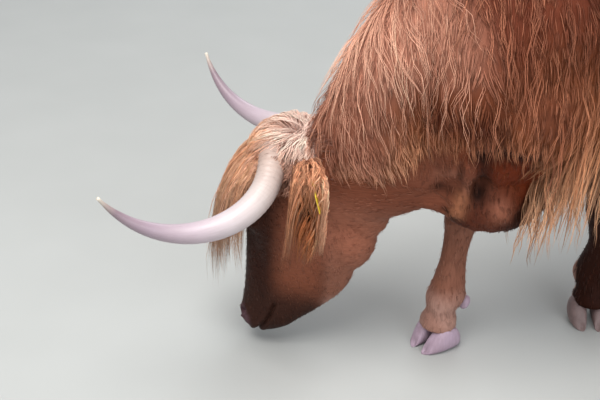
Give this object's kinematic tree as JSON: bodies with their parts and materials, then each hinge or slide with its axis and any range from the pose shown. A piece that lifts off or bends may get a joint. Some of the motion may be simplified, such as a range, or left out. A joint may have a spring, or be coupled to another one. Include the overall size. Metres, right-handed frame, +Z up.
{
  "type": "highland cow",
  "caption": "Still, life-size model of a long-haired, long-horned highland cow grazing, standing on four cloven hooves with the head lowered to the grass.",
  "frame": {"origin": "on the floor, under the middle of the whole animal's outline", "axes": "+X to the cow's left, +Y from head to tail, +Z up"},
  "size_m": [1.169, 2.1656, 1.1822],
  "materials": {
    "coat": "long wavy red-brown hair, matte",
    "forelock": "long ginger hair, matte",
    "horn": "smooth pinkish-white horn, satin",
    "hoof": "worn pinkish-grey hoof horn",
    "eye": "wet dark brown",
    "tag": "blank yellow plastic"
  },
  "bodies": {
    "root": {"trunk": "coat", "head": "coat", "forelock": "forelock", "ear_tag": "tag", "ear_left": "coat", "eye_left": "eye", "horn_left": "horn", "ear_right": "coat", "eye_right": "eye", "horn_right": "horn", "leg_front_left": "coat", "leg_back_left": "coat", "hoof_front_left_left": "hoof", "dewclaw_front_left_left": "hoof", "hoof_front_left_right": "hoof", "dewclaw_front_left_right": "hoof", "hoof_back_left_left": "hoof", "dewclaw_back_left_left": "hoof", "hoof_back_left_right": "hoof", "dewclaw_back_left_right": "hoof", "leg_front_right": "coat", "leg_back_right": "coat", "hoof_front_right_left": "hoof", "dewclaw_front_right_left": "hoof", "hoof_front_right_right": "hoof", "dewclaw_front_right_right": "hoof", "hoof_back_right_left": "hoof", "dewclaw_back_right_left": "hoof", "hoof_back_right_right": "hoof", "dewclaw_back_right_right": "hoof", "neck": "coat", "dewlap": "coat", "tail": "coat", "tail_switch": "coat"}
  },
  "joints": []
}
